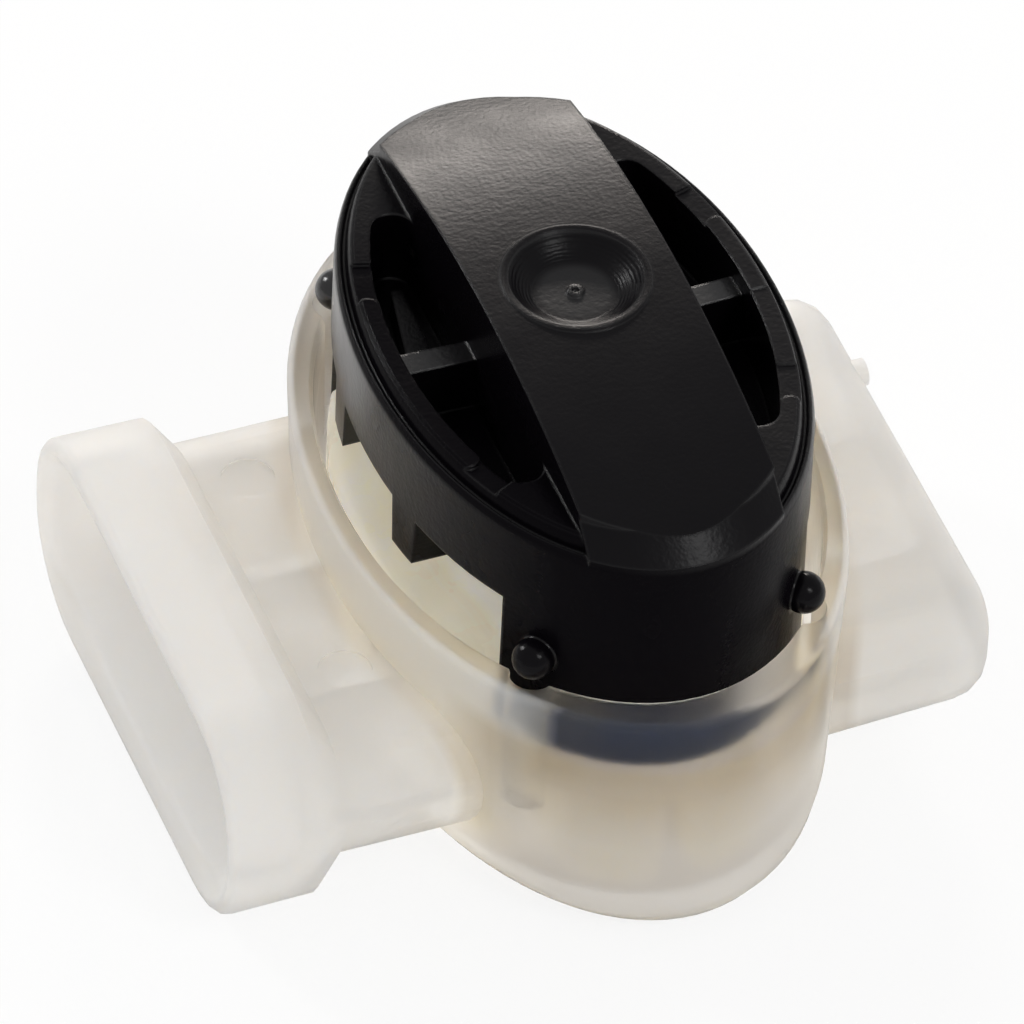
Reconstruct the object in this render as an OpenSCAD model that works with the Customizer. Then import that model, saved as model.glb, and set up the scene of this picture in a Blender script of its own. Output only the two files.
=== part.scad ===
// Gel-filled push-cap wire connector: three wires enter the oblong collar at -X,
// run through the oval tower and stop in the closed block at +X. Pressing the cap
// down drives the slotted contact over the wires and into the sealing gel.
// Origin: centre of the oval base on the surface it rests on. Wires run along X.

/* [Wires] */
// Radius of each wire port
port_radius = 2.1; // [1.8:0.05:2.15]
// Distance between neighbouring wires
wire_pitch = 6.0; // [5.8:0.1:6.1]
// Height of the wire axes above the base
wire_height = 4.75; // [4.6:0.05:4.9]

/* [Tower] */
// Half width of the tower along the wires
tower_half_x = 9.0; // [8.9:0.1:9.3]
// Half width of the tower across the wires
tower_half_y = 13.95; // [13.8:0.05:14.3]
// Height of the rim
rim_height = 10.5; // [10.2:0.1:10.8]
// Thickness of the floor
floor_thickness = 0.9; // [0.7:0.1:1.0]
// Radius of the rounded foot
foot_radius = 2.1; // [1.6:0.1:2.4]
// Half width of the opening along the wires
mouth_half_x = 8.2; // [8.1:0.05:8.25]
// Half width of the opening across the wires
mouth_half_y = 12.45; // [12.4:0.05:12.6]

/* [Collar and neck] */
// Distance from the tower centre to the wire entry face
entry_x = 15.95; // [15.4:0.1:17]
// Half width of the collar
collar_half_y = 10.2; // [10:0.1:10.6]
// Height of the collar
collar_height = 8.6; // [8.2:0.1:8.8]
// Wall of the collar around its recess
collar_wall = 1.2; // [1.0:0.1:1.4]
// Depth of the recess in the entry face
recess_depth = 3.1; // [2.4:0.1:3.3]
// Half width of the neck
neck_half_y = 9.35; // [9.2:0.05:9.5]
// Height of the neck and of the block
neck_height = 5.4; // [5.2:0.1:5.6]

/* [Block] */
// Distance from the tower centre to the closed end
block_x = 12.95; // [12.8:0.1:14]
// Half width of the block at its closed end
block_half_y = 9.05; // [8.9:0.05:9.3]
// Rounding of the closed end
block_round = 1.5; // [1.0:0.1:1.6]
// Material left behind the blind wire holes
block_end_wall = 1.3; // [1.2:0.1:1.6]

/* [Cap] */
// Half width of the cap along the wires
cap_half_x = 7.6; // [7.4:0.05:7.65]
// Half width of the cap across the wires
cap_half_y = 12.2; // [12:0.05:12.25]
// Height of the lip around the cap, before it is pressed
ring_height = 16.45; // [16.3:0.05:16.8]
// Height of the middle of the strap, before the cap is pressed
strap_height = 18.95; // [18.6:0.05:19.2]
// Half width of the strap
strap_half_x = 3.56; // [3.4:0.02:3.7]
// Radius of the arch along the strap
strap_arch = 37.3; // [34:0.5:42]
// Thickness of the ring and of the skirt
cap_wall = 1.5; // [1.4:0.05:1.6]
// How far the cap is pressed down when it is crimped
cap_travel = 5.6; // [5.2:0.1:5.6]

/* [Contact] */
// Thickness of the contact sheet
sheet = 0.6; // [0.5:0.05:0.65]
// Half width over the two slotted walls
contact_half_x = 2.1; // [2.0:0.05:2.2]
// Width of a wire slot
slot_width = 0.7; // [0.6:0.05:0.9]

/* [Hidden] */

// Faces round an oval, and round one corner of a rounded section
oval_steps = 96;
corner_steps = 7;
// Flat stretches along half of the strap's arch
arch_steps = 14;
$fn = 64;
// Overshoot of a cut past the face that it opens
past = 1;

// Housing
cavity_draft = [0.3, 0.05];
tower_draft = [0.5, -0.1];
rim_round = 0.3;
mouth_chamfer = [0.15, 0.3];
cavity_round = 0.6;
neck_start = entry_x - 4.45;
collar_full = entry_x - 3.4;
collar_low = wire_height - collar_height / 2;
collar_corner = 3.9;
collar_edge = 0.35;
collar_taper = [0.2, 0.15];
neck_low = wire_height - neck_height / 2;
neck_corner = 2.6;
block_corner = 2.2;
block_taper = 0.35;
recess_x = entry_x - recess_depth;
// Lead-in round the mouth of the recess, as [depth, widening]
mouth_lead = [0.6, 0.65];
recess_taper = 0.1;
recess_round = 0.3;
blind_x = block_x - block_end_wall;
port_end = 8.6;
channel_end_radius = port_radius - 0.1;
saddle_places = [-4.1, 0, 4.1];
saddle_thickness = 1.0;
saddle_half_y = 7.9;
middle_saddle_half_y = 10.2;
mark_radius = 0.95;
mark_depth = 0.08;
mark_places = [[-9.75, 5.4], [-9.85, -4.6]];
gate_place = [4.6, 6.2];
gate_radius = 0.5;
gate_height = 0.25;

// Cap
notch_top = 13.0;
tooth_bottom = 10.95;
skirt_bottom = 7.1;
skirt_half_y = 8.2;
tooth_inner = 2.32;
tooth_width = 1.56;
tooth_taper = 0.12;
pocket_floor = 13.9;
pocket_half_y = 7.0;
pocket_wall = 1.3;
pocket_corner = 0.75;
pocket_corner_steps = 24;
// Section over the ring's lip, valley and raised land, as [inset, height over the lip]
ring_edge = [[0, -0.4], [0.04, -0.2], [0.1, -0.06], [0.17, 0], [0.25, -0.05], [0.36, -0.18],
             [0.42, 0.02], [0.48, 0.28], [0.56, 0.43], [0.68, 0.5]];
land_rise = 0.5;
skirt_foot = [0.2, 0.4];
skirt_draft = 0.05;
notch_step = 0.1;
strap_foot = notch_top + 0.5;
strap_end_y = 11.2;
strap_end_x = 7.1;
strap_end_height = 17.35;
strap_inset = 0.03;
// Sunken stretches of the land on each side, as [from y, to y, depth, round at from, round at to]
land_middle = 0.9;
land_half = 0.42;
sunk_half = 0.6;
sunk_steps = 10;
sunk_depth = 0.16;
low_bead_depth = 0.06;
left_sunk = [[2.8, 4.9, sunk_depth, true, false], [-6.8, -5.1, sunk_depth, false, true]];
right_sunk = [[2.8, 4.85, sunk_depth, true, false], [-6.15, -4.2, sunk_depth, true, false],
              [-4.25, -0.55, low_bead_depth, false, false]];
rib_top = 16.1;
rib_ring_end = [0.15, 1.15];
rib_strap_end = [0, 0.95];
tongue_top = 15.0;
tongue_half = [0.22, 0.47];
tongue_tip = [-4.55, 5.05];
tongue_root = [-4.88, 2.1];
tongue_sink = 0.4;
// Half section of the dimple: each point is [radius, height over the middle of the strap]
dimple_lip = [[2.3, -0.3], [2.38, 0], [2.48, 0.03], [2.62, 0.03], [2.78, -0.3]];
dimple_wall = [[2.38, 0.02], [2.3, -0.06], [2.1, -0.3], [1.8, -0.56], [1.5, -0.7]];
dimple_scar = [[0.34, -0.7], [0.28, -0.6], [0.14, -0.58], [0.1, -0.72], [0, -0.74]];
nub_radius = 0.75;
nub_offset = 0.27;
nub_height = 11.2;
nub_angle = 51.2;
nub_clearance = 0.08;

// Contact, and the recess and stakes that hold it under the cap
contact_top = notch_top + sheet;
contact_half_y = 8.1;
leg_bottom = skirt_bottom;
slot_top = 11.6;
slot_mouth = 3.0;
slot_mouth_height = 1.5;
relief_width = 0.5;
relief_top = 10.4;
bend_radius = 0.9;
bend_steps = 6;
fit_gap = 0.05;
stake_radius = 0.7;
stake_places = [-3, 3];
stake_root = 0.4;
stake_head_radius = [0.7, 1.05];
stake_head_height = 0.5;
core_half_x = 2.2;
core_top = 17.0;
core_places = [[-9.2, -4.2], [-1.8, 1.8], [4.2, 9.2]];

// Gel
gel_gap = 0.3;
gel_foot = 0.3;
gel_top = 6.9;
gel_window_top = 8.6;
gel_window_half_y = 7.95;
gel_window_x = 2.7;

// Points of an ellipse, counter-clockwise
function oval(half_x, half_y) =
    [for (i = [0 : oval_steps - 1]) let (angle = 360 * i / oval_steps)
        [half_x * cos(angle), half_y * sin(angle)]];

// Points of an upright rounded rectangle across the wires, centred on y = 0
function section(half_y, low, high, corner) =
    [for (q = [0 : 3]) for (i = [0 : corner_steps])
        let (angle = 90 * q + 90 * i / corner_steps,
             side = q == 0 || q == 3 ? 1 : -1,
             level = q < 2 ? high - corner : low + corner)
        [side * (half_y - corner) + corner * cos(angle), level + corner * sin(angle)]];

// Place on the outside of the skirt where a nub stands, moved out by a distance
function nub_place(out) =
    let (across = [cos(nub_angle) / cap_half_x, sin(nub_angle) / cap_half_y])
    [cap_half_x * cos(nub_angle), cap_half_y * sin(nub_angle)] + across * out / norm(across);

// Point on the middle line of the ring's land at an angle of the oval, moved outward
function land_place(angle, out) =
    let (across = [cos(angle) / cap_half_x, sin(angle) / cap_half_y])
    [cap_half_x * cos(angle), cap_half_y * sin(angle)] + across / norm(across) * (out - land_middle);

// Angle of the oval at a place across the wires, on the land's middle line
function land_angle(y) = asin(y / (cap_half_y - land_middle));

// Closed skin through rings of points, each counter-clockwise seen from the last ring's side
module skin(rings) {
    count = len(rings[0]);
    last = len(rings) - 1;
    points = [for (ring = rings) each ring];
    sides = [for (k = [0 : last - 1]) for (i = [0 : count - 1])
        let (next = (i + 1) % count)
        [k * count + i, (k + 1) * count + i, (k + 1) * count + next, k * count + next]];
    low_end = [for (i = [0 : count - 1]) i];
    high_end = [for (i = [count - 1 : -1 : 0]) last * count + i];
    polyhedron(points, concat([low_end, high_end], sides));
}

// Upright oval form: each level is [half_x, half_y, z]
module oval_tower(levels) {
    skin([for (level = levels) [for (p = oval(level[0], level[1])) [p[0], p[1], level[2]]]]);
}

// Rounded form along the wires: each station is [x, half_y, low, high, corner]
module along_wires(stations) {
    skin([for (s = stations) [for (p = section(s[1], s[2], s[3], s[4])) [s[0], p[0], p[1]]]]);
}

// The same shape at all four quarters of the oval
module four_quarters() {
    for (x = [0, 1]) for (y = [0, 1]) mirror([x, 0, 0]) mirror([0, y, 0]) children();
}

module tower_outside() {
    foot = [for (i = [0 : 4]) let (angle = 90 * i / 4, inset = foot_radius * (1 - sin(angle)))
        [tower_half_x - tower_draft[0] - inset, tower_half_y - tower_draft[1] - inset,
         foot_radius * (1 - cos(angle))]];
    rim = [for (i = [0 : 2]) let (angle = 90 * i / 2, inset = rim_round * (1 - cos(angle)))
        [tower_half_x - inset, tower_half_y - inset, rim_height - rim_round * (1 - sin(angle))]];
    oval_tower(concat(foot, rim));
}

module tower_cavity() {
    low_x = mouth_half_x - cavity_draft[0];
    low_y = mouth_half_y - cavity_draft[1];
    wide_x = mouth_half_x + mouth_chamfer[0];
    wide_y = mouth_half_y + mouth_chamfer[0];
    floor_levels = [for (i = [0 : 2]) let (angle = 90 * i / 2, inset = cavity_round * (1 - sin(angle)))
        [low_x - inset, low_y - inset, floor_thickness + cavity_round * (1 - cos(angle))]];
    oval_tower(concat(floor_levels, [[mouth_half_x, mouth_half_y, rim_height - mouth_chamfer[1]],
                                     [wide_x, wide_y, rim_height],
                                     [wide_x, wide_y, rim_height + past]]));
}

module collar_and_neck() {
    high = collar_low + collar_height;
    neck_high = neck_low + neck_height;
    entry = [for (i = [0 : 3]) let (angle = 90 * i / 3, inset = collar_edge * (1 - sin(angle)))
        [-entry_x + collar_edge * (1 - cos(angle)), collar_half_y - inset, collar_low + inset, high - inset,
         collar_corner - inset]];
    along_wires(concat(entry, [
        [-collar_full, collar_half_y - collar_taper[0], collar_low - collar_taper[1],
         high + collar_taper[1], collar_corner],
        [-neck_start, neck_half_y, neck_low, neck_high, neck_corner],
        [-tower_half_x / 2, neck_half_y, neck_low, neck_high, neck_corner]]));
}

module closed_block() {
    high = neck_low + neck_height;
    end = [for (i = [0 : 4]) let (angle = 90 * i / 4, inset = block_round * (1 - cos(angle)))
        [block_x - block_round * (1 - sin(angle)), block_half_y - inset, neck_low + inset, high - inset,
         block_corner - inset]];
    along_wires(concat([[tower_half_x / 2, block_half_y + block_taper, neck_low, high, block_corner]], end));
    translate([block_x - past, gate_place[0], gate_place[1]])
        rotate([0, 90, 0])
        cylinder(r = gate_radius, h = past + gate_height);
}

module collar_recess() {
    corner = collar_corner - collar_wall;
    half_y = collar_half_y - collar_wall;
    low = collar_low + collar_wall;
    high = collar_low + collar_height - collar_wall;
    deep = recess_taper + recess_round;
    wide = mouth_lead[1];
    along_wires([
        [-entry_x - past, half_y + wide, low - wide, high + wide, corner + wide],
        [-entry_x, half_y + wide, low - wide, high + wide, corner + wide],
        [mouth_lead[0] - entry_x, half_y, low, high, corner],
        [-recess_x - recess_round, half_y - recess_taper, low + recess_taper, high - recess_taper, corner],
        [-recess_x, half_y - deep, low + deep, high - deep, corner - recess_round]]);
}

// Round ports in the neck, each with a drafted channel behind it that ends blind in the block
module wire_ports() {
    for (i = [-1 : 1])
        translate([0, i * wire_pitch, wire_height])
            rotate([0, 90, 0]) {
                translate([0, 0, -entry_x - past])
                    cylinder(r = port_radius, h = entry_x + past - port_end);
                translate([0, 0, -port_end])
                    cylinder(r1 = port_radius, r2 = channel_end_radius, h = port_end + blind_x);
            }
}

// Ribs on the cavity floor that carry the wires on each side of the contact walls
module wire_saddles() {
    for (x = saddle_places) {
        half_y = x == 0 ? middle_saddle_half_y : saddle_half_y;
        translate([x - saddle_thickness / 2, -half_y, floor_thickness / 2])
            cube([saddle_thickness, 2 * half_y, wire_height - floor_thickness / 2]);
    }
}

// Grooves in the wall that the nubs of the cap run down in
module nub_grooves() {
    low = nub_height - cap_travel - nub_radius - nub_clearance;
    place = nub_place(nub_offset);
    four_quarters()
        translate([place[0], place[1], low])
        cylinder(r = nub_radius + nub_clearance, h = rim_height + past - low);
}

module ejector_marks() {
    for (place = mark_places)
        translate([place[0], place[1], neck_low + neck_height - mark_depth])
            cylinder(r = mark_radius, h = past);
}

module housing() {
    color([0.88, 0.87, 0.84]) difference() {
        union() {
            difference() {
                union() {
                    tower_outside();
                    collar_and_neck();
                    closed_block();
                }
                tower_cavity();
                collar_recess();
            }
            wire_saddles();
        }
        wire_ports();
        nub_grooves();
        ejector_marks();
    }
}

// Outside of the cap below its strap
module cap_outside() {
    top_x = cap_half_x - skirt_draft;
    oval_tower(concat([[cap_half_x - skirt_foot[0], cap_half_y - skirt_foot[0], skirt_bottom],
                       [cap_half_x, cap_half_y, skirt_bottom + skirt_foot[1]]],
                      [for (step = ring_edge)
                          [top_x - step[0], cap_half_y - step[0], ring_height + step[1]]]));
}

// Side view of the strap: a long arch across the wires
module strap_arch_side() {
    reach = cap_half_y + past;
    arch = [for (i = [-arch_steps : arch_steps]) let (y = -reach * i / arch_steps)
        [y, strap_height - strap_arch + sqrt(strap_arch * strap_arch - y * y)]];
    polygon(concat(arch, [[-reach, strap_foot], [reach, strap_foot]]));
}

// The arched strap that the pliers press on, its ends sloping down to the ring
module strap() {
    intersection() {
        oval_tower([[cap_half_x - strap_inset, cap_half_y - strap_inset, strap_foot],
                    [cap_half_x - strap_inset, cap_half_y - strap_inset, ring_height - strap_inset],
                    [strap_end_x, strap_end_y, strap_end_height],
                    [strap_end_x, strap_end_y, strap_height + past]]);
        rotate([90, 0, 90])
            translate([0, 0, -strap_half_x])
            linear_extrude(2 * strap_half_x)
            strap_arch_side();
    }
}

// Inside of the skirt, up to the web of the cap
module skirt_inside() {
    translate([0, 0, skirt_bottom - past])
        linear_extrude(notch_top - skirt_bottom + past)
        polygon(oval(cap_half_x - cap_wall, cap_half_y - cap_wall));
}

// Openings in the skirt for the wires, with a tooth left between neighbours
module wire_notches() {
    outer = tooth_inner + tooth_width;
    reach = cap_half_x + past;
    low = skirt_bottom - past;
    for (notch = [[-skirt_half_y, -outer, 0, tooth_taper],
                  [-tooth_inner, tooth_inner, tooth_taper, tooth_taper],
                  [outer, skirt_half_y, tooth_taper, 0]]) {
        from = notch[0] - notch[2];
        to = notch[1] + notch[3];
        rotate([90, 0, 90])
            translate([0, 0, -reach])
            linear_extrude(2 * reach)
            polygon([[notch[0], notch_top], [from, tooth_bottom], [from, low], [to, low], [to, tooth_bottom],
                     [notch[1], notch_top]]);
    }
    translate([-reach, notch_step - skirt_half_y, skirt_bottom - past])
        cube([2 * reach, 2 * (skirt_half_y - notch_step), tooth_bottom - skirt_bottom + past]);
}

// One of the two deep pockets beside the strap, with a tapered rib left standing across it
module side_pocket() {
    difference() {
        translate([0, 0, pocket_floor])
            linear_extrude(ring_height - pocket_floor + past)
            offset(r = pocket_corner, $fn = pocket_corner_steps)
            offset(delta = -pocket_corner)
            intersection() {
                polygon(oval(cap_half_x - pocket_wall, cap_half_y - pocket_wall));
                translate([strap_half_x, -pocket_half_y])
                    square([cap_half_x, 2 * pocket_half_y]);
            }
        linear_extrude(rib_top)
            polygon([[strap_half_x - past, rib_strap_end[0]], [cap_half_x, rib_ring_end[0]],
                     [cap_half_x, rib_ring_end[1]], [strap_half_x - past, rib_strap_end[1]]]);
    }
}

// Shallow sunken stretches of the land on one side of the strap, with round-ended beads left between them
module sunken_land(side, spans) {
    mirror([side < 0 ? 1 : 0, 0, 0])
        for (span = spans) {
            from = land_angle(span[0]);
            turn = (land_angle(span[1]) - from) / sunk_steps;
            translate([0, 0, ring_height + land_rise - span[2]])
                linear_extrude(past)
                difference() {
                    polygon(concat(
                        [for (i = [0 : sunk_steps]) land_place(from + turn * i, sunk_half)],
                        [for (i = [sunk_steps : -1 : 0]) land_place(from + turn * i, -sunk_half)]));
                    for (end = [0, 1])
                        if (span[3 + end])
                            translate(land_place(from + turn * sunk_steps * end, 0))
                                circle(r = land_half);
                }
        }
}

// Round-tipped tongue that stands in the left pocket
module pocket_tongue() {
    translate([0, 0, pocket_floor - tongue_sink])
        linear_extrude(tongue_top - pocket_floor + tongue_sink) {
            translate(tongue_tip)
                circle(r = tongue_half[0]);
            polygon([tongue_tip - [tongue_half[0], 0], tongue_root - [tongue_half[1], 0],
                     tongue_root + [tongue_half[1], 0], tongue_tip + [tongue_half[0], 0]]);
        }
}

// Low lip around the dimple
module dimple_rim() {
    translate([0, 0, strap_height])
        rotate_extrude()
        polygon(dimple_lip);
}

// Dished seat in the middle of the strap, with a small scar on its floor
module dimple() {
    top = [[0, past], [dimple_wall[0][0] + past, past]];
    translate([0, 0, strap_height])
        rotate_extrude()
        polygon(concat(top, [dimple_wall[0] + [past, past / 2]], dimple_wall, dimple_scar));
}

// Hollows under the strap, and the recess that the contact seats in
module contact_seat() {
    seat_x = contact_half_x + fit_gap;
    seat_y = contact_half_y + fit_gap;
    translate([-seat_x, -seat_y, notch_top - past])
        cube([2 * seat_x, 2 * seat_y, contact_top - notch_top + past]);
    for (span = core_places)
        translate([-core_half_x, span[0], notch_top - past])
            cube([2 * core_half_x, span[1] - span[0], core_top - notch_top + past]);
}

// Stakes that pass through the contact, with their heads formed over it
module contact_stakes() {
    for (y = stake_places)
        translate([0, y, notch_top - stake_head_height]) {
            cylinder(r = stake_radius, h = stake_head_height + sheet + stake_root);
            cylinder(r1 = stake_head_radius[0], r2 = stake_head_radius[1], h = stake_head_height);
        }
}

module nubs() {
    place = nub_place(nub_offset);
    four_quarters()
        translate([place[0], place[1], nub_height])
        sphere(r = nub_radius);
}

module push_cap() {
    color([0.09, 0.09, 0.1]) {
        union() {
            difference() {
                union() {
                    difference() {
                        cap_outside();
                        sunken_land(-1, left_sunk);
                        sunken_land(1, right_sunk);
                    }
                    strap();
                    dimple_rim();
                }
                skirt_inside();
                wire_notches();
                for (side = [0, 1])
                    mirror([side, 0, 0])
                        side_pocket();
                dimple();
                contact_seat();
            }
            contact_stakes();
            pocket_tongue();
            nubs();
        }
    }
}

// Quarter bend of the contact sheet on one side, from the wall up to the web
function bend(side, radius) =
    [for (i = [0 : bend_steps]) let (angle = 90 * i / bend_steps)
        [side * (contact_half_x - bend_radius + radius * cos(angle)),
         contact_top - bend_radius + radius * sin(angle)]];

function backwards(points) = [for (i = [len(points) - 1 : -1 : 0]) points[i]];

// Outline of the bent sheet seen along Y: the web on top and a wall down each side
module contact_outline() {
    inner = bend_radius - sheet;
    inner_x = contact_half_x - sheet;
    polygon(concat([[contact_half_x, leg_bottom]], bend(1, bend_radius), backwards(bend(-1, bend_radius)),
                   [[-contact_half_x, leg_bottom], [-inner_x, leg_bottom]], bend(-1, inner),
                   backwards(bend(1, inner)), [[inner_x, leg_bottom]]));
}

// One wire slot through both walls, with a wide mouth that leads the wire in
module wire_slot() {
    half = slot_width / 2;
    mouth = slot_mouth / 2;
    neck = leg_bottom + slot_mouth_height;
    rotate([90, 0, 90])
        translate([0, 0, -contact_half_x - past])
        linear_extrude(2 * contact_half_x + 2 * past)
        polygon([[-mouth, leg_bottom - past], [mouth, leg_bottom - past], [mouth, leg_bottom], [half, neck],
                 [half, slot_top], [-half, slot_top], [-half, neck], [-mouth, leg_bottom]]);
}

module contact() {
    color([0.78, 0.77, 0.74]) difference() {
        translate([0, contact_half_y, 0])
            rotate([90, 0, 0])
            linear_extrude(2 * contact_half_y)
            contact_outline();
        for (i = [-1 : 1])
            translate([0, i * wire_pitch, 0])
                wire_slot();
        for (side = [-1, 1])
            translate([-contact_half_x - past, side * wire_pitch / 2 - relief_width / 2, leg_bottom - past])
                cube([2 * contact_half_x + 2 * past, relief_width, relief_top - leg_bottom + past]);
        for (y = stake_places)
            translate([0, y, contact_top - sheet - past])
                cylinder(r = stake_radius + fit_gap, h = sheet + 2 * past);
    }
}

module sealant_gel() {
    half_x = mouth_half_x - cavity_draft[0] - gel_gap;
    half_y = mouth_half_y - cavity_draft[1] - gel_gap;
    color([0.85, 0.82, 0.66]) difference() {
        union() {
            translate([0, 0, floor_thickness])
                linear_extrude(gel_top - floor_thickness)
                polygon(oval(half_x - gel_foot, half_y - gel_foot));
            intersection() {
                translate([0, 0, floor_thickness + cavity_round])
                    linear_extrude(gel_window_top - floor_thickness - cavity_round)
                    polygon(oval(half_x, half_y));
                for (side = [0, 1])
                    mirror([side, 0, 0])
                        translate([gel_window_x, -gel_window_half_y, floor_thickness])
                        cube([mouth_half_x, 2 * gel_window_half_y, gel_window_top]);
            }
        }
        for (x = saddle_places)
            translate([x - saddle_thickness / 2 - fit_gap, -tower_half_y, 0])
                cube([saddle_thickness + 2 * fit_gap, 2 * tower_half_y, wire_height + fit_gap]);
        nub_grooves();
    }
}

housing();
push_cap();
contact();
sealant_gel();
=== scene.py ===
import math

import bpy
from mathutils import Matrix, Vector, noise as field


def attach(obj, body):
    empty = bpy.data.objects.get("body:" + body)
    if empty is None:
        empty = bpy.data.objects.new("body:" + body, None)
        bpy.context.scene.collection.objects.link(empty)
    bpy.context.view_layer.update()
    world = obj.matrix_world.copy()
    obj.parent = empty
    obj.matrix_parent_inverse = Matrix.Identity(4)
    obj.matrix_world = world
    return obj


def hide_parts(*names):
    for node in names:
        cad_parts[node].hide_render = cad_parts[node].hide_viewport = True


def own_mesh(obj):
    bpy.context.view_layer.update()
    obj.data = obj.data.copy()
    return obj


# Lengths are in metres, in the frame of the CAD model, and MM turns millimetres into them. Colours are
# linear. A span is a pair of values, and what is stated for it changes between the two.
MM = 0.001
WHITE = (1, 1, 1, 1)
SHARE_SPAN = (0.0, 1.0)
NOISE_SPAN = (0.3, 0.7)

# Camera, fitted to the photograph: angles in degrees, the pixel of the model's origin, and the scale there
IMAGE_SIZE = 1024
VIEW_AZIMUTH = 23.05
VIEW_ELEVATION = 44.88
VIEW_ROLL = 2.95
ORIGIN_PIXEL = (556.1, 667.8)
PIXELS_PER_MM = 28.4
CAMERA_DISTANCE = 516 * MM
SENSOR_MM = 36.0

# Camera: the nearest and the farthest distance that it sees
CLIP_START = 0.01
CLIP_END = 10.0

# Corners closer than this are joined. Edges over an angle in degrees stay crisp, and the angle is wider
# where round forms have few faces.
WELD = 0.002 * MM
CRISP_ANGLE = 18.0
ROUND_FORM_ANGLE = 48.0

# Sockets of the mix node for its two colours and for the result
MIX_COLOURS = (6, 7)
MIX_RESULT = 2

# Noises: features per metre and levels of detail
HAZE = (420, 3)
WAX = (600, 2)
FLOW_MARKS = (400, 3)
GRAIN = (1500, 2)
FINE_GRAIN = (6000, 1)
TIN_STREAKS = (2500, 3)
ROLLING_LINES = (3000, 2)
GEL_STREAKS = (280, 3)
GEL_SHEEN = (600, 3)
GEL_LUMPS = (330, 3)

# Depths of the bumps
WAX_DEPTH = 0.03 * MM
GRAIN_DEPTH = 0.007 * MM
FINE_GRAIN_DEPTH = 0.008 * MM
MARK_DEPTH = 0.006 * MM
ROLLING_DEPTH = 0.006 * MM
LUMP_DEPTH = 0.18 * MM

# Housing: half sizes of two ovals about the tower's axis. Past the first is the tower's outside, and past
# the second are the solid parts beside it. Each has the span of oval shares in which that begins.
OUTSIDE_OVAL = (8.55 * MM, 13.15 * MM)
OUTSIDE_SPAN = (1.02, 1.04)
SOLID_OVAL = (9.3 * MM, 14.3 * MM)
SOLID_SPAN = (1.0, 1.04)

# Housing: heights over which the gel stops wetting the wall, its beige ends, and that beige gets warmer and
# darker, a painted shade of the cap's skirt over the gel
WET_HEIGHTS = (7.0 * MM, 9.2 * MM)
BEIGE_HEIGHTS = (8.2 * MM, 9.0 * MM)
WARM_SHADE_HEIGHTS = (4.5 * MM, 7.8 * MM)

# Housing: distances from its middle plane over which the tower's wall comes free of neck and block, and over
# which its ends begin. A painted blue shade, standing for the dark cap seen through the wall, starts late in
# the second.
FREE_REACH = (7.6 * MM, 9.6 * MM)
END_REACH = (10.5 * MM, 11.8 * MM)
BLUE_SHADE_SPAN = (0.7, 1.0)

# Housing: share of milky scattering in the cavity's wall, at the tower's ends above the gel, on its sides,
# on its outside where the gel wets it, and in the solid parts, with what the haze adds or takes there
CAVITY_MILK = 0.02
END_MILK = 0.055
SIDE_MILK = 0.62
WET_MILK = 0.45
SOLID_MILK = 0.62
HAZE_MILK = 0.06

# Housing: colours of the clear share, of the wall in front of the gel from low to high, the high one darker
# as a painted shade of the cap's skirt, and of the milky share on the sides, in front of the cap as a
# painted blue shade, in the solid parts and in the collar's recess, painted lighter there against the
# recess's shade
CLEAR_COLOUR = (0.96, 0.92, 0.85, 1)
SOAKED_LOW = (0.68, 0.65, 0.61, 1)
SOAKED_HIGH_PAINTED_SHADE = (0.55, 0.48, 0.39, 1)
WALL_COLOUR = (0.84, 0.79, 0.73, 1)
PAINTED_BLUE_SHADE = (0.42, 0.52, 1.0, 1)
SOLID_COLOUR = (0.87, 0.85, 0.82, 1)
RECESS_PAINTED_LIGHT = (1.0, 0.99, 0.985, 1)

# Housing: roughness of the clear share from the sides to the ends, and of the milky share over the haze
CLEAR_ROUGHNESS = (0.5, 0.34)
MILK_ROUGHNESS = (0.42, 0.56)

# Housing: light bending and specular level of both shares. The clear one bends light less than
# polypropylene does: a wall that guides light round the skirt would hide the photograph's dark patch.
CLEAR_IOR = 1.12
CLEAR_SHINE = 0.15
MILK_IOR = 1.49
MILK_SHINE = 0.3

# How far light scatters in the milky share and in the gel, and by how much in red, green and blue
SCATTER = 4 * MM
MILK_SCATTER = (1.0, 0.92, 0.82)
GEL_SCATTER = (1.0, 0.9, 0.7)

# Collar's recess, painted lighter against its shade: its floor's X, its outline about the wires' height as a
# rounded oval, and how it fades
RECESS_X = -12.85 * MM
RECESS_HALF_Y = 9.2 * MM
RECESS_HALF_Z = 3.3 * MM
WIRE_HEIGHT = 4.75 * MM
RECESS_POWER = 4.0
RECESS_SPAN = (0.9, 1.15)
RECESS_FADE = 0.4 * MM

# Cap: rounding of its edges, colour of its plastic, and half sizes of its oval and of the strap's dimple
CAP_EDGE_RADIUS = 0.15 * MM
EDGE_SAMPLES = 4
CAP_COLOUR = (0.0024, 0.0019, 0.0028, 1)
CAP_OVAL = (7.55 * MM, 12.2 * MM)
DIMPLE_OVAL = (2.3 * MM, 2.3 * MM)

# Cap: where the strap ends in width and begins in height, where the ring begins, where the lip round it ends
# in height and begins in oval share, and where the skirt's outside begins in oval share
STRAP_REACH = (3.5 * MM, 3.56 * MM)
STRAP_HEIGHTS = (16.36 * MM, 16.44 * MM)
RING_HEIGHTS = (15.6 * MM, 15.9 * MM)
LIP_HEIGHTS = (16.1 * MM, 16.25 * MM)
LIP_SPAN = (0.97, 0.98)
SKIRT_SPAN = (0.84, 0.94)

# Cap: middle and half size of the ribs' tops on each axis, how they fade, and the upward part of the normal
# over which a face counts as flat
RIB_TOPS = (("X", 0.0, 6.3 * MM), ("Y", 0.55 * MM, 0.7 * MM), ("Z", 16.1 * MM, 0.08 * MM))
RIB_FADE = 0.05 * MM
UPWARD_SPAN = (0.8, 0.95)

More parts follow.
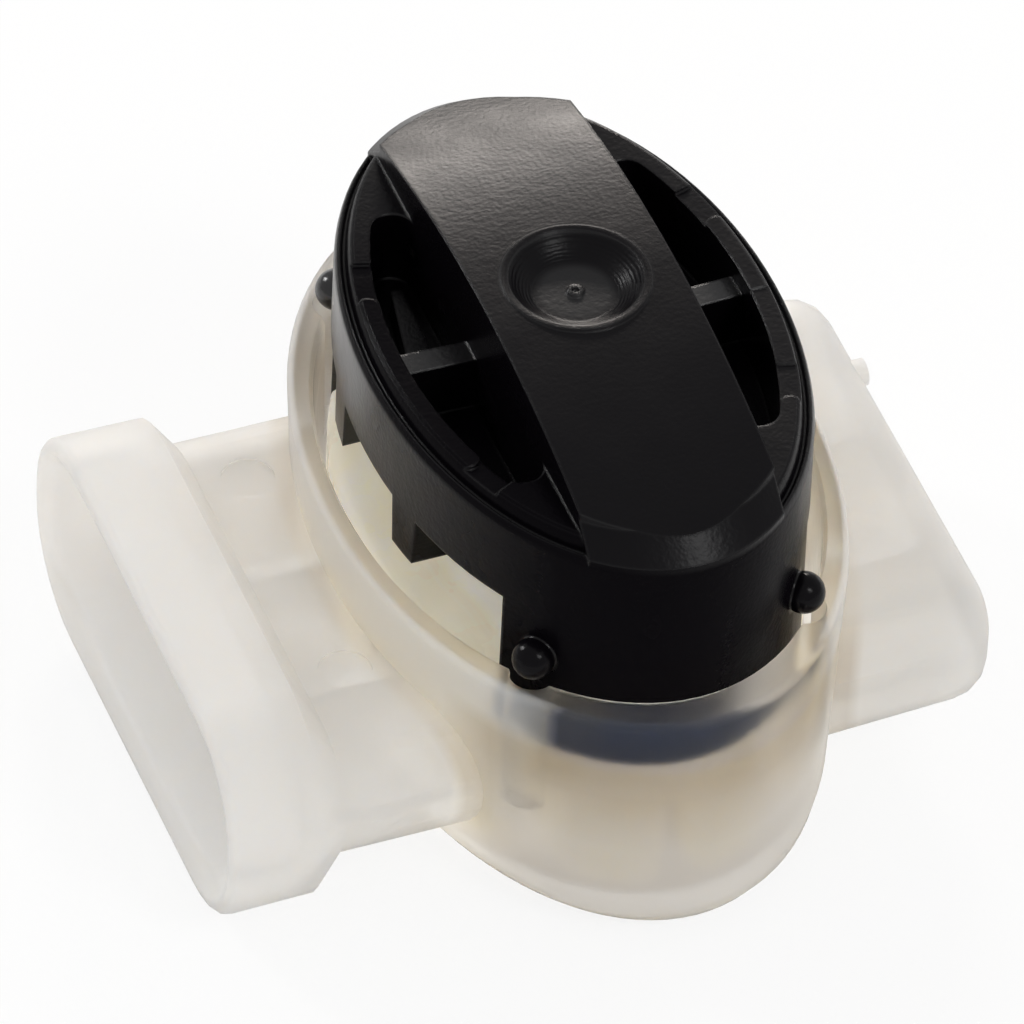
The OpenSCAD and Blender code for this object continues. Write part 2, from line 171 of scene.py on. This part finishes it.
# Cap: middle of a nub, the span in which it ends, and the share of the cap's roughness that is left there
NUB_CENTRE = (4.98 * MM, 9.67 * MM, 11.2 * MM)
NUB_REACH = (0.8 * MM, 0.95 * MM)
NUB_GLOSS = 0.7

# Cap: turning marks in the dimple: on its wall, faint over its rim and gone beyond, in oval shares
MARK_SCALE = 2600
MARK_DISTORTION = 2.0
MARK_DETAIL = 1.0
MARK_START = (0.6, 0.7)
MARK_RIM = (1.0, 1.05)
MARK_RIM_SHARE = 0.15
MARK_STOP = (1.25, 1.35)

# Cap: specular level of the skirt from front to middle, what its back has over that, and the share of both
# that is left inside. The spans are places on Y. Set by place, this is painted: a darker front and a painted
# sheen at the back.
SKIRT_SHINE = (0.02, 0.24)
SKIRT_FRONT = (-10 * MM, 2 * MM)
BACK_SHINE = 0.36
SKIRT_BACK = (-1 * MM, 4.5 * MM)
INSIDE_SHARE = 0.35

# Cap: specular level of the ring's land from shaded to lit, which is to the right and at the back
LAND_SHINE = (0.025, 0.13)
LAND_RIGHT = (-3 * MM, 3 * MM)
LAND_BACK = (4 * MM, 8 * MM)

# Cap: specular level of strap and nubs, what the dimple's floor, the ribs' tops and the edges have over that
# of the faces, and where the floor ends and a normal counts as an edge's. What the floor and the ribs' tops
# have over the faces is painted sheen, and what the edges have is painted highlights.
STRAP_SHINE = 0.12
NUB_SHINE = 0.1
SEAT_SHINE = 0.2
SEAT_SPAN = (0.5, 0.65)
RIB_SHINE = 0.45
EDGE_SHINE = 0.3
EDGE_SPAN = (0.8, 0.99)

# Cap: light bending, roughness over its flow marks, and what the strap has over that
CAP_IOR = 1.5
CAP_ROUGHNESS = (0.22, 0.29)
STRAP_ROUGHNESS = 0.07

# Contact: colour of its tin, roughness over its streaks, and how streaks and rolling lines are squeezed
TIN_COLOUR = (0.74, 0.72, 0.69, 1)
TIN_ROUGHNESS = (0.22, 0.42)
TIN_STRETCH = (1, 1, 8)
ROLLING_STRETCH = (1, 1, 10)

# Gel: size of a voxel, rounds of smoothing, depth of its uneven top, and the height where that starts
GEL_VOXEL = 0.24 * MM
GEL_SMOOTHING = 8
GEL_DIP = 0.35 * MM
GEL_TOP = 5.6 * MM

# Gel: waves and ripples of its top per metre, the ripples' layer and share, and the dip's mean and swing
GEL_WAVES = 330
GEL_RIPPLES = 900
RIPPLE_LAYER = 5
RIPPLE_SHARE = 0.5
DIP_MEAN = 0.5
DIP_SWING = 0.7

# Gel: light bending, roughness, and its pale and deep streaks, with how these and its lumps are distorted
GEL_IOR = 1.41
GEL_ROUGHNESS = (0.2, 0.38)
GEL_PALE = (0.98, 0.955, 0.86, 1)
GEL_DEEP = (0.8, 0.755, 0.6, 1)
STREAK_SPAN = (0.38, 0.66)
STREAK_STRETCH = (1, 0.6, 1)
STREAK_DISTORTION = 1.2
LUMP_DISTORTION = 0.4

# Gel: a glow for light that reaches it through the translucent wall, which the lamps' rays don't follow
GEL_GLOW_COLOUR = (1.0, 0.93, 0.78, 1)
GEL_GLOW = 0.18

# Floor: its colour, half its size, how far it lies under the part, and the share of it that glows where
# the camera sees it. The rest takes the shadow.
FLOOR_COLOUR = (0.95, 0.95, 0.95, 1)
FLOOR_HALF = 1.5
FLOOR_DROP = 0.02 * MM
FLOOR_GLOW = 0.85

# World: its strength as light, and as the backdrop that the camera sees
STUDIO_LIGHT = 0.62
BACKDROP_LIGHT = 1.0

# Lamps: the point that they face
LAMP_TARGET = (0, 0, 0.008)

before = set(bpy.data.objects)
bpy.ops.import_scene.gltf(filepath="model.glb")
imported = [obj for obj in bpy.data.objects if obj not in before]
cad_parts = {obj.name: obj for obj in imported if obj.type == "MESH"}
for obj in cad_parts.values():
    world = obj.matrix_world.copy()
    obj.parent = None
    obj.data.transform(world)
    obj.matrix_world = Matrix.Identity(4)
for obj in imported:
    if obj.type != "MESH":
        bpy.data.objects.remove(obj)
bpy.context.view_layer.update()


def make_camera():
    """The camera at its fitted place, turned so that the model's origin falls on its pixel."""
    azimuth, elevation, roll = (math.radians(v) for v in (VIEW_AZIMUTH, VIEW_ELEVATION, VIEW_ROLL))
    level = Vector((math.cos(azimuth), -math.sin(azimuth), 0))
    toward = Vector((-math.sin(azimuth) * math.cos(elevation), -math.cos(azimuth) * math.cos(elevation),
                     math.sin(elevation)))
    upward = toward.cross(level)
    right = level * math.cos(roll) + upward * math.sin(roll)
    up = upward * math.cos(roll) - level * math.sin(roll)
    focal_pixels = PIXELS_PER_MM / MM * CAMERA_DISTANCE
    centre = IMAGE_SIZE / 2
    back = (toward - right * (centre - ORIGIN_PIXEL[0]) / focal_pixels
            - up * (ORIGIN_PIXEL[1] - centre) / focal_pixels).normalized()
    side = up.cross(back).normalized()
    data = bpy.data.cameras.new("camera")
    data.sensor_width = SENSOR_MM
    data.lens = focal_pixels * SENSOR_MM / IMAGE_SIZE
    data.clip_start = CLIP_START
    data.clip_end = CLIP_END
    camera = bpy.data.objects.new("camera", data)
    camera.matrix_world = (Matrix.Translation(toward * CAMERA_DISTANCE)
                           @ Matrix((side, back.cross(side), back)).transposed().to_4x4())
    bpy.context.collection.objects.link(camera)
    bpy.context.scene.camera = camera


def new_material(name):
    """An empty node material: the material, its node tree and its output node."""
    material = bpy.data.materials.new(name)
    material.use_nodes = True
    tree = material.node_tree
    tree.nodes.clear()
    return material, tree, tree.nodes.new("ShaderNodeOutputMaterial")


def add(tree, kind, **values):
    """Adds a node. Values that name an input set its default, and the rest are properties."""
    node = tree.nodes.new("ShaderNode" + kind)
    for name, value in values.items():
        label = name.replace("_", " ")
        found = [s for s in node.inputs if s.name.lower() == label.lower()]
        if found:
            found[0].default_value = value
        else:
            setattr(node, name, value)
    return node


def link(tree, source, target):
    """Joins an output to an input."""
    tree.links.new(source, target)


def math_node(tree, operation, first, second=0.0):
    """A math node over two values, each a socket or a number."""
    node = add(tree, "Math", operation=operation)
    for place, value in enumerate((first, second)):
        if isinstance(value, (int, float)):
            node.inputs[place].default_value = value
        else:
            link(tree, value, node.inputs[place])
    return node.outputs["Value"]


def plus(tree, first, second):
    """The sum of two values."""
    return math_node(tree, "ADD", first, second)


def minus(tree, first, second):
    """The first value less the second."""
    return math_node(tree, "SUBTRACT", first, second)


def times(tree, first, second):
    """The product of two values."""
    return math_node(tree, "MULTIPLY", first, second)


def over(tree, first, second):
    """The first value divided by the second."""
    return math_node(tree, "DIVIDE", first, second)


def larger(tree, first, second):
    """The larger one of two values."""
    return math_node(tree, "MAXIMUM", first, second)


def unsigned(tree, value):
    """A value without its sign."""
    return math_node(tree, "ABSOLUTE", value)


def rest(tree, share):
    """What a share leaves of 1."""
    return minus(tree, 1.0, share)


def ramp(tree, value, low, high, span):
    """A number that goes from low to high over a span of a value, and stays level outside it."""
    node = add(tree, "MapRange", from_min=span[0], from_max=span[1], to_min=low, to_max=high)
    link(tree, value, node.inputs["Value"])
    return node.outputs["Result"]


def fade_in(tree, value, span):
    """Goes from 0 to 1 over a span of a value."""
    return ramp(tree, value, 0.0, 1.0, span)


def fade_out(tree, value, span):
    """Goes from 1 to 0 over a span of a value."""
    return ramp(tree, value, 1.0, 0.0, span)


def own_place(tree):
    """The object's own coordinates, in metres."""
    return add(tree, "TexCoord").outputs["Object"]


def place_axis(tree, axis):
    """One of the object's own coordinates, in metres."""
    split = add(tree, "SeparateXYZ")
    link(tree, own_place(tree), split.inputs["Vector"])
    return split.outputs[axis]


def oval_share(tree, half_sizes):
    """How far a point is out from the tower's axis, where 1 is on an oval of these half sizes."""
    x, y = (over(tree, place_axis(tree, axis), half) for axis, half in zip("XY", half_sizes))
    return math_node(tree, "SQRT", plus(tree, times(tree, x, x), times(tree, y, y)))


def noise(tree, kind, distortion=0.0, stretch=(1, 1, 1)):
    """Noise over the object's own coordinates. Its kind is features per metre and levels of detail."""
    scale, detail = kind
    mapping = add(tree, "Mapping", scale=stretch)
    link(tree, own_place(tree), mapping.inputs["Vector"])
    texture = add(tree, "TexNoise", scale=scale, detail=detail, distortion=distortion)
    link(tree, mapping.outputs["Vector"], texture.inputs["Vector"])
    return texture.outputs["Fac"]


def bumps(tree, layers, normal=None):
    """A chain of bump nodes over (height, distance) layers, on an optional normal."""
    for height, distance in layers:
        node = add(tree, "Bump", distance=distance)
        link(tree, height, node.inputs["Height"])
        if normal is not None:
            link(tree, normal, node.inputs["Normal"])
        normal = node.outputs["Normal"]
    return normal


def blend_colours(tree, share, first, second):
    """The first colour where share is 0 and the second where it is 1, each a socket or a plain colour."""
    node = add(tree, "Mix", data_type="RGBA")
    link(tree, share, node.inputs[0])
    for place, colour in zip(MIX_COLOURS, (first, second)):
        if isinstance(colour, tuple):
            node.inputs[place].default_value = colour
        else:
            link(tree, colour, node.inputs[place])
    return node.outputs[MIX_RESULT]


def blend_shaders(tree, share, first, second):
    """The first shader where share is 0 and the second where it is 1."""
    node = add(tree, "MixShader")
    link(tree, share, node.inputs["Fac"])
    link(tree, first, node.inputs[1])
    link(tree, second, node.inputs[2])
    return node.outputs["Shader"]


def housing_regions(tree):
    """Shares from 0 to 1 that tell the regions of the housing apart."""
    height = place_axis(tree, "Z")
    across = unsigned(tree, place_axis(tree, "Y"))
    return {
        "outside": fade_in(tree, oval_share(tree, OUTSIDE_OVAL), OUTSIDE_SPAN),
        "solid": fade_in(tree, oval_share(tree, SOLID_OVAL), SOLID_SPAN),
        "wet": fade_out(tree, height, WET_HEIGHTS),
        "beige": fade_out(tree, height, BEIGE_HEIGHTS),
        # warm: the gel's beige gets warmer and darker upward, a painted shade of the cap's skirt
        "warm": fade_in(tree, height, WARM_SHADE_HEIGHTS),
        "free": fade_in(tree, across, FREE_REACH),
        "end": fade_in(tree, across, END_REACH),
    }


def lit_recess_share(tree):
    """1 inside the collar's recess, where it is painted lighter, and 0 elsewhere."""
    across = over(tree, place_axis(tree, "Y"), RECESS_HALF_Y)
    upward = over(tree, minus(tree, place_axis(tree, "Z"), WIRE_HEIGHT), RECESS_HALF_Z)
    powers = [math_node(tree, "POWER", unsigned(tree, way), RECESS_POWER) for way in (across, upward)]
    outline = fade_out(tree, plus(tree, *powers), RECESS_SPAN)
    depth = fade_out(tree, place_axis(tree, "X"), (RECESS_X, RECESS_X + RECESS_FADE))
    return times(tree, outline, depth)


def milk_share(tree, regions, haze):
    """Share of milky scattering: least in the cavity and at the tower's ends, most in the solid parts."""
    dry = ramp(tree, regions["end"], SIDE_MILK, END_MILK, SHARE_SPAN)
    veil = larger(tree, dry, times(tree, regions["wet"], WET_MILK))
    tower = larger(tree, times(tree, regions["outside"], veil), CAVITY_MILK)
    cloud = ramp(tree, haze, SOLID_MILK - HAZE_MILK, SOLID_MILK + HAZE_MILK, NOISE_SPAN)
    return larger(tree, tower, times(tree, regions["solid"], cloud))


def milk_tint(tree, regions, soaked_and_shaded):
    """Colour of the milky share, region by region, with a painted blue shade at the tower's ends, a painted
    skirt shade on the gel's beige and painted light in the collar's recess.
    """
    # At the tower's ends the milky share is painted blue: a painted shade of the dark cap behind the wall,
    # which the clear share shows for real.
    tint = blend_colours(tree, fade_in(tree, regions["end"], BLUE_SHADE_SPAN), WALL_COLOUR, PAINTED_BLUE_SHADE)
    # Beige where the gel wets the wall, darker high up as a painted shade of the cap's skirt
    tint = blend_colours(tree, times(tree, regions["beige"], regions["free"]), tint, soaked_and_shaded)
    tint = blend_colours(tree, regions["solid"], tint, SOLID_COLOUR)
    # Painted light in the collar's recess, against its shade
    return blend_colours(tree, lit_recess_share(tree), tint, RECESS_PAINTED_LIGHT)


def clear_share(tree, regions, soaked_and_shaded):
    """The shader that the cap and the gel show through."""
    shader = add(tree, "BsdfPrincipled", ior=CLEAR_IOR, specular_ior_level=CLEAR_SHINE,
                 transmission_weight=1.0)
    # Where the gel wets the wall the clear share takes its beige, darker high up as a painted shade of the
    # cap's skirt.
    wet_front_share = times(tree, times(tree, regions["wet"], regions["free"]), rest(tree, regions["solid"]))
    link(tree, blend_colours(tree, wet_front_share, CLEAR_COLOUR, soaked_and_shaded), shader.inputs["Base Color"])
    link(tree, ramp(tree, regions["end"], *CLEAR_ROUGHNESS, SHARE_SPAN), shader.inputs["Roughness"])
    return shader


def milky_share(tree, regions, soaked_and_shaded, haze):
    """The shader that scatters light inside the plastic."""
    shader = add(tree, "BsdfPrincipled", ior=MILK_IOR, specular_ior_level=MILK_SHINE,
                 subsurface_weight=1.0, subsurface_scale=SCATTER, subsurface_radius=MILK_SCATTER)
    link(tree, milk_tint(tree, regions, soaked_and_shaded), shader.inputs["Base Color"])
    link(tree, ramp(tree, haze, *MILK_ROUGHNESS, NOISE_SPAN), shader.inputs["Roughness"])
    return shader


def clear_moulding():
    """Natural polypropylene: milky where it is solid, and easy to see through at the tower's ends."""
    material, tree, output = new_material("clear_moulding")
    regions = housing_regions(tree)
    haze = noise(tree, HAZE)
    # The gel's beige from low to high; the darker high end is a painted shade of the cap's skirt.
    soaked_and_shaded = blend_colours(tree, regions["warm"], SOAKED_LOW, SOAKED_HIGH_PAINTED_SHADE)
    through = clear_share(tree, regions, soaked_and_shaded)
    milk = milky_share(tree, regions, soaked_and_shaded, haze)
    normal = bumps(tree, [(noise(tree, WAX), WAX_DEPTH)])
    for shader in (through, milk):
        link(tree, normal, shader.inputs["Normal"])
    share = milk_share(tree, regions, haze)
    mixed = blend_shaders(tree, share, through.outputs["BSDF"], milk.outputs["BSDF"])
    link(tree, mixed, output.inputs["Surface"])
    return material


def tool_marks(tree):
    """Fine turning marks on the wall of the strap's dimple."""
    rings = add(tree, "TexWave", wave_type="RINGS", rings_direction="Z", scale=MARK_SCALE,
                distortion=MARK_DISTORTION, detail=MARK_DETAIL)
    link(tree, own_place(tree), rings.inputs["Vector"])
    out = oval_share(tree, DIMPLE_OVAL)
    wall = times(tree, fade_in(tree, out, MARK_START), ramp(tree, out, 1.0, MARK_RIM_SHARE, MARK_RIM))
    wall = times(tree, wall, fade_out(tree, out, MARK_STOP))
    return times(tree, rings.outputs["Fac"], wall)


def strap_share(tree):
    """1 on top of the strap, and 0 on the rest of the cap."""
    width = fade_out(tree, unsigned(tree, place_axis(tree, "X")), STRAP_REACH)
    return times(tree, width, fade_in(tree, place_axis(tree, "Z"), STRAP_HEIGHTS))


def nub_share(tree):
    """1 on the cap's four nubs, and 0 on the rest of it."""
    squares = []
    for axis, centre in zip("XYZ", NUB_CENTRE):
        away = minus(tree, unsigned(tree, place_axis(tree, axis)), centre)
        squares.append(times(tree, away, away))
    total = plus(tree, plus(tree, squares[0], squares[1]), squares[2])
    return fade_out(tree, math_node(tree, "SQRT", total), NUB_REACH)


def rib_share(tree):
    """1 on the flat tops of the ribs across the cap's pockets, where painted light goes, and 0 on the rest
    of the cap.
    """
    facing = add(tree, "SeparateXYZ")
    link(tree, add(tree, "NewGeometry").outputs["Normal"], facing.inputs["Vector"])
    share = fade_in(tree, facing.outputs["Z"], UPWARD_SPAN)
    for axis, centre, reach in RIB_TOPS:
        away = unsigned(tree, minus(tree, place_axis(tree, axis), centre))
        share = times(tree, share, fade_out(tree, away, (reach, reach + RIB_FADE)))
    return share


def ring_share(tree, out):
    """1 on the cap's top inside its lip, and 0 on the skirt."""
    height = place_axis(tree, "Z")
    lip = times(tree, fade_in(tree, out, LIP_SPAN), fade_out(tree, height, LIP_HEIGHTS))
    return times(tree, fade_in(tree, height, RING_HEIGHTS), rest(tree, lip))


def edge_highlight_share(tree, edges):
    """1 where the cap's edges are rounded, where painted highlights go, and 0 on its faces."""
    facing = add(tree, "VectorMath", operation="DOT_PRODUCT")
    link(tree, edges.outputs["Normal"], facing.inputs[0])
    link(tree, add(tree, "NewGeometry").outputs["Normal"], facing.inputs[1])
    return fade_out(tree, facing.outputs["Value"], EDGE_SPAN)


def skirt_shine(tree, out):
    """Painted sheen in the skirt's specular level: least in front, most at the back, and less inside than
    outside.
    """
    place = place_axis(tree, "Y")
    front = ramp(tree, place, *SKIRT_SHINE, SKIRT_FRONT)
    back = ramp(tree, place, 0.0, BACK_SHINE, SKIRT_BACK)
    return times(tree, plus(tree, front, back), ramp(tree, out, INSIDE_SHARE, 1.0, SKIRT_SPAN))


def top_shine(tree):
    """Specular level of the cap's top: the strap with painted sheen on its dimple's floor, the ring's land
    from shaded to lit, and painted light on the ribs' tops.
    """
    strap = strap_share(tree)
    lit = larger(tree, fade_in(tree, place_axis(tree, "X"), LAND_RIGHT),
                 fade_in(tree, place_axis(tree, "Y"), LAND_BACK))
    land = ramp(tree, lit, *LAND_SHINE, SHARE_SPAN)
    top = larger(tree, times(tree, strap, STRAP_SHINE), times(tree, rest(tree, strap), land))
    seat = times(tree, strap, ramp(tree, oval_share(tree, DIMPLE_OVAL), SEAT_SHINE, 0.0, SEAT_SPAN))
    return plus(tree, plus(tree, top, seat), times(tree, rib_share(tree), RIB_SHINE))


def cap_shine(tree, edges):
    """Specular level of the cap, painted by place: its skirt and its top, with its nubs and painted
    highlights on its rounded edges over them.
    """
    out = oval_share(tree, CAP_OVAL)
    ring = ring_share(tree, out)
    skirt = times(tree, rest(tree, ring), skirt_shine(tree, out))
    faces = plus(tree, skirt, times(tree, ring, top_shine(tree)))
    faces = larger(tree, faces, times(tree, nub_share(tree), NUB_SHINE))
    # Painted highlights on the rounded edges
    return plus(tree, faces, times(tree, edge_highlight_share(tree, edges), EDGE_SHINE))


def cap_roughness(tree):
    """Roughness of the cap: flow marks, a duller strap and glossy nubs."""
    flow = ramp(tree, noise(tree, FLOW_MARKS), *CAP_ROUGHNESS, NOISE_SPAN)
    satin = plus(tree, flow, times(tree, strap_share(tree), STRAP_ROUGHNESS))
    return times(tree, satin, ramp(tree, nub_share(tree), 1.0, NUB_GLOSS, SHARE_SPAN))


def black_moulding():
    """Black moulded plastic with a satin sheen, a fine grain and turning marks in its dimple."""
    material, tree, output = new_material("black_moulding")
    shader = add(tree, "BsdfPrincipled", base_color=CAP_COLOUR, ior=CAP_IOR)
    edges = add(tree, "Bevel", radius=CAP_EDGE_RADIUS, samples=EDGE_SAMPLES)
    grain = [(noise(tree, GRAIN), GRAIN_DEPTH), (noise(tree, FINE_GRAIN), FINE_GRAIN_DEPTH),
             (tool_marks(tree), MARK_DEPTH)]
    link(tree, cap_roughness(tree), shader.inputs["Roughness"])
    link(tree, cap_shine(tree, edges), shader.inputs["Specular IOR Level"])
    link(tree, bumps(tree, grain, edges.outputs["Normal"]), shader.inputs["Normal"])
    link(tree, shader.outputs["BSDF"], output.inputs["Surface"])
    return material


def tinned_metal():
    """Tin plated sheet with faint rolling marks."""
    material, tree, output = new_material("tinned_metal")
    shader = add(tree, "BsdfPrincipled", base_color=TIN_COLOUR, metallic=1.0)
    streaks = noise(tree, TIN_STREAKS, stretch=TIN_STRETCH)
    rolling = noise(tree, ROLLING_LINES, stretch=ROLLING_STRETCH)
    link(tree, ramp(tree, streaks, *TIN_ROUGHNESS, NOISE_SPAN), shader.inputs["Roughness"])
    link(tree, bumps(tree, [(rolling, ROLLING_DEPTH)]), shader.inputs["Normal"])
    link(tree, shader.outputs["BSDF"], output.inputs["Surface"])
    return material


def sealing_gel():
    """Soft, faintly yellow sealing gel that is cloudy with depth."""
    material, tree, output = new_material("sealing_gel")
    shader = add(tree, "BsdfPrincipled", ior=GEL_IOR, subsurface_weight=1.0, subsurface_scale=SCATTER,
                 subsurface_radius=GEL_SCATTER, emission_color=GEL_GLOW_COLOUR, emission_strength=GEL_GLOW)
    streaks = noise(tree, GEL_STREAKS, distortion=STREAK_DISTORTION, stretch=STREAK_STRETCH)
    colour = blend_colours(tree, fade_in(tree, streaks, STREAK_SPAN), GEL_PALE, GEL_DEEP)
    lumps = noise(tree, GEL_LUMPS, distortion=LUMP_DISTORTION)
    link(tree, colour, shader.inputs["Base Color"])
    link(tree, ramp(tree, noise(tree, GEL_SHEEN), *GEL_ROUGHNESS, NOISE_SPAN), shader.inputs["Roughness"])
    link(tree, bumps(tree, [(lumps, LUMP_DEPTH)]), shader.inputs["Normal"])
    link(tree, shader.outputs["BSDF"], output.inputs["Surface"])
    return material


def smoothing_group(name, angle):
    """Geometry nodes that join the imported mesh's split corners and shade it smooth below an angle."""
    group = bpy.data.node_groups.new(name, "GeometryNodeTree")
    for way in ("INPUT", "OUTPUT"):
        group.interface.new_socket("Geometry", in_out=way, socket_type="NodeSocketGeometry")
    start, weld, plain, smooth, crisp, stop = [group.nodes.new(kind) for kind in (
        "NodeGroupInput", "GeometryNodeMergeByDistance", "GeometryNodeRemoveAttribute",
        "GeometryNodeSetShadeSmooth", "GeometryNodeSetShadeSmooth", "NodeGroupOutput")]
    weld.inputs["Distance"].default_value = WELD
    plain.inputs["Name"].default_value = "custom_normal"
    crisp.domain = "EDGE"
    crisp.inputs["Shade Smooth"].default_value = False
    between = group.nodes.new("GeometryNodeInputMeshEdgeAngle")
    steep = group.nodes.new("FunctionNodeCompare")
    steep.operation = "GREATER_THAN"
    steep.inputs["B"].default_value = math.radians(angle)
    group.links.new(between.outputs["Unsigned Angle"], steep.inputs["A"])
    group.links.new(steep.outputs["Result"], crisp.inputs["Selection"])
    chain = (start, weld, plain, smooth, crisp, stop)
    for first, second in zip(chain[:-1], chain[1:]):
        group.links.new(first.outputs["Geometry"], second.inputs["Geometry"])
    return group


def smooth_shading(node, angle):
    """Even shading for a node, with modifiers over its own unchanged mesh."""
    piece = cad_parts[node]
    smooth = piece.modifiers.new("smooth_below_angle", "NODES")
    smooth.node_group = smoothing_group(node + "_shading", angle)
    normals = piece.modifiers.new("even_normals", "WEIGHTED_NORMAL")
    normals.keep_sharp = True


def dress(node, material):
    """Gives a node its one material."""
    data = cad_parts[node].data
    data.materials.clear()
    data.materials.append(material)


def gel_dip(point):
    """How far the gel's top is sunk at a point."""
    wave = field.noise(Vector((point.x, point.y, 0)) * GEL_WAVES)
    ripple = field.noise(Vector((point.x, point.y, RIPPLE_LAYER)) * GEL_RIPPLES)
    return GEL_DIP * min(1.0, max(0.0, DIP_MEAN + DIP_SWING * (wave + RIPPLE_SHARE * ripple)))


def gel_mesh(gel):
    """The gel's mesh, rounded by its modifiers and sunk unevenly on top."""
    shaped = bpy.data.meshes.new_from_object(gel.evaluated_get(bpy.context.evaluated_depsgraph_get()))
    for vertex in shaped.vertices:
        lift = min(1.0, max(0.0, (vertex.co.z - GEL_TOP) / MM))
        vertex.co.z -= lift * gel_dip(vertex.co)
    shaped.polygons.foreach_set("use_smooth", [True] * len(shaped.polygons))
    return shaped


def soft_gel():
    """The filling with a soft uneven top, in the space of its CAD solid."""
    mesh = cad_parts["sealant_gel"].data.copy()
    gel = bpy.data.objects.new("gel_filling", mesh)
    bpy.context.collection.objects.link(gel)
    remesh = gel.modifiers.new("voxels", "REMESH")
    remesh.mode = "VOXEL"
    remesh.voxel_size = GEL_VOXEL
    smooth = gel.modifiers.new("smooth", "SMOOTH")
    smooth.iterations = GEL_SMOOTHING
    shaped = gel_mesh(gel)
    gel.modifiers.clear()
    gel.data = shaped
    shaped.materials.clear()
    shaped.materials.append(sealing_gel())
    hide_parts("sealant_gel")
    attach(gel, "body")
    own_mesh(gel)


def seen_share(tree):
    """1 for what the camera sees, straight or through the clear plastic, and 0 for all other light."""
    path = add(tree, "LightPath")
    return larger(tree, path.outputs["Is Camera Ray"], path.outputs["Is Transmission Ray"])


def make_floor():
    """A white floor that keeps the part's shadow."""
    mesh = bpy.data.meshes.new("floor")
    corners = [(x * FLOOR_HALF, y * FLOOR_HALF, 0) for x, y in ((-1, -1), (1, -1), (1, 1), (-1, 1))]
    mesh.from_pydata(corners, [], [(0, 1, 2, 3)])
    floor = bpy.data.objects.new("floor", mesh)
    floor.location.z = -FLOOR_DROP
    bpy.context.collection.objects.link(floor)
    material, tree, output = new_material("floor_white")
    matte = add(tree, "BsdfDiffuse", color=FLOOR_COLOUR)
    glow = add(tree, "Emission", color=WHITE, strength=1.0)
    share = times(tree, seen_share(tree), FLOOR_GLOW)
    mixed = blend_shaders(tree, share, matte.outputs["BSDF"], glow.outputs["Emission"])
    link(tree, mixed, output.inputs["Surface"])
    mesh.materials.append(material)


def make_world():
    """Even studio light from all round, and a white backdrop where the camera sees it."""
    world = bpy.data.worlds.new("studio")
    bpy.context.scene.world = world
    world.use_nodes = True
    tree = world.node_tree
    tree.nodes.clear()
    output = tree.nodes.new("ShaderNodeOutputWorld")
    studio = add(tree, "Background", color=WHITE, strength=STUDIO_LIGHT)
    backdrop = add(tree, "Background", color=WHITE, strength=BACKDROP_LIGHT)
    mixed = blend_shaders(tree, seen_share(tree), studio.outputs["Background"],
                          backdrop.outputs["Background"])
    link(tree, mixed, output.inputs["Surface"])


def area_light(name, place, size, power, colour=(1, 1, 1)):
    """A rectangular lamp that faces the part. Its size is in metres and its power in watts."""
    data = bpy.data.lights.new(name, "AREA")
    data.shape = "RECTANGLE"
    data.size, data.size_y = size
    data.energy = power
    data.color = colour
    light = bpy.data.objects.new(name, data)
    light.location = place
    light.rotation_euler = (Vector(LAMP_TARGET) - Vector(place)).to_track_quat("-Z", "Y").to_euler()
    bpy.context.collection.objects.link(light)


def make_lights():
    """A warm low lamp behind the part, a softbox behind it to the left, and a softbox in front."""
    area_light("low_back_lamp", place=(0.17, 0.43, 0.17), size=(0.14, 0.06), power=0.95,
               colour=(1.0, 0.93, 0.87))
    area_light("left_back_softbox", place=(-0.26, 0.34, 0.26), size=(0.07, 0.07), power=0.55)
    area_light("front_softbox", place=(0.14, -0.31, 0.36), size=(0.12, 0.12), power=0.55)


make_camera()
make_world()
make_lights()
make_floor()
smooth_shading("housing", ROUND_FORM_ANGLE)
smooth_shading("push_cap", CRISP_ANGLE)
smooth_shading("contact", CRISP_ANGLE)
dress("housing", clear_moulding())
dress("push_cap", black_moulding())
dress("contact", tinned_metal())
soft_gel()
bpy.context.scene.view_settings.view_transform = "Standard"
